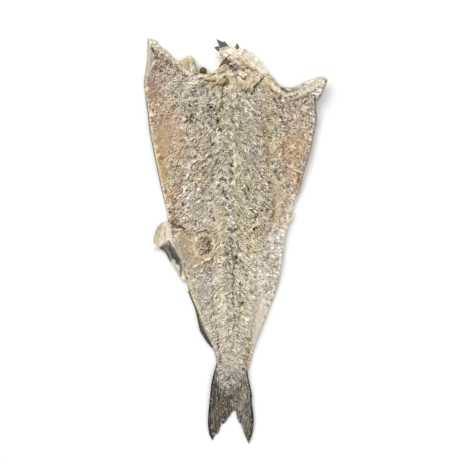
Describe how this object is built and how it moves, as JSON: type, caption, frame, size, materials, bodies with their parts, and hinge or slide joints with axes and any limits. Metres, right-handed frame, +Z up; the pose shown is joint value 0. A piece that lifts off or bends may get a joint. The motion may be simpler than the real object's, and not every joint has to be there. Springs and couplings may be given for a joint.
{
  "type": "salted dried fish",
  "caption": "Split, salted and dried whole fish without its head, opened flat with the flesh side up, forked tail fin on.",
  "frame": {"origin": "centre of the fish's plan box, on the surface that it lies on", "axes": "+Y from the tail to the collar, +Z up from the skin to the flesh, +X to the right of the picture"},
  "size_m": [0.2302, 0.5056, 0.0251],
  "materials": {
    "dried_flesh": "dry, matt and salt-crusted"
  },
  "bodies": {
    "root": {"dried_fish": "dried_flesh"}
  },
  "joints": []
}
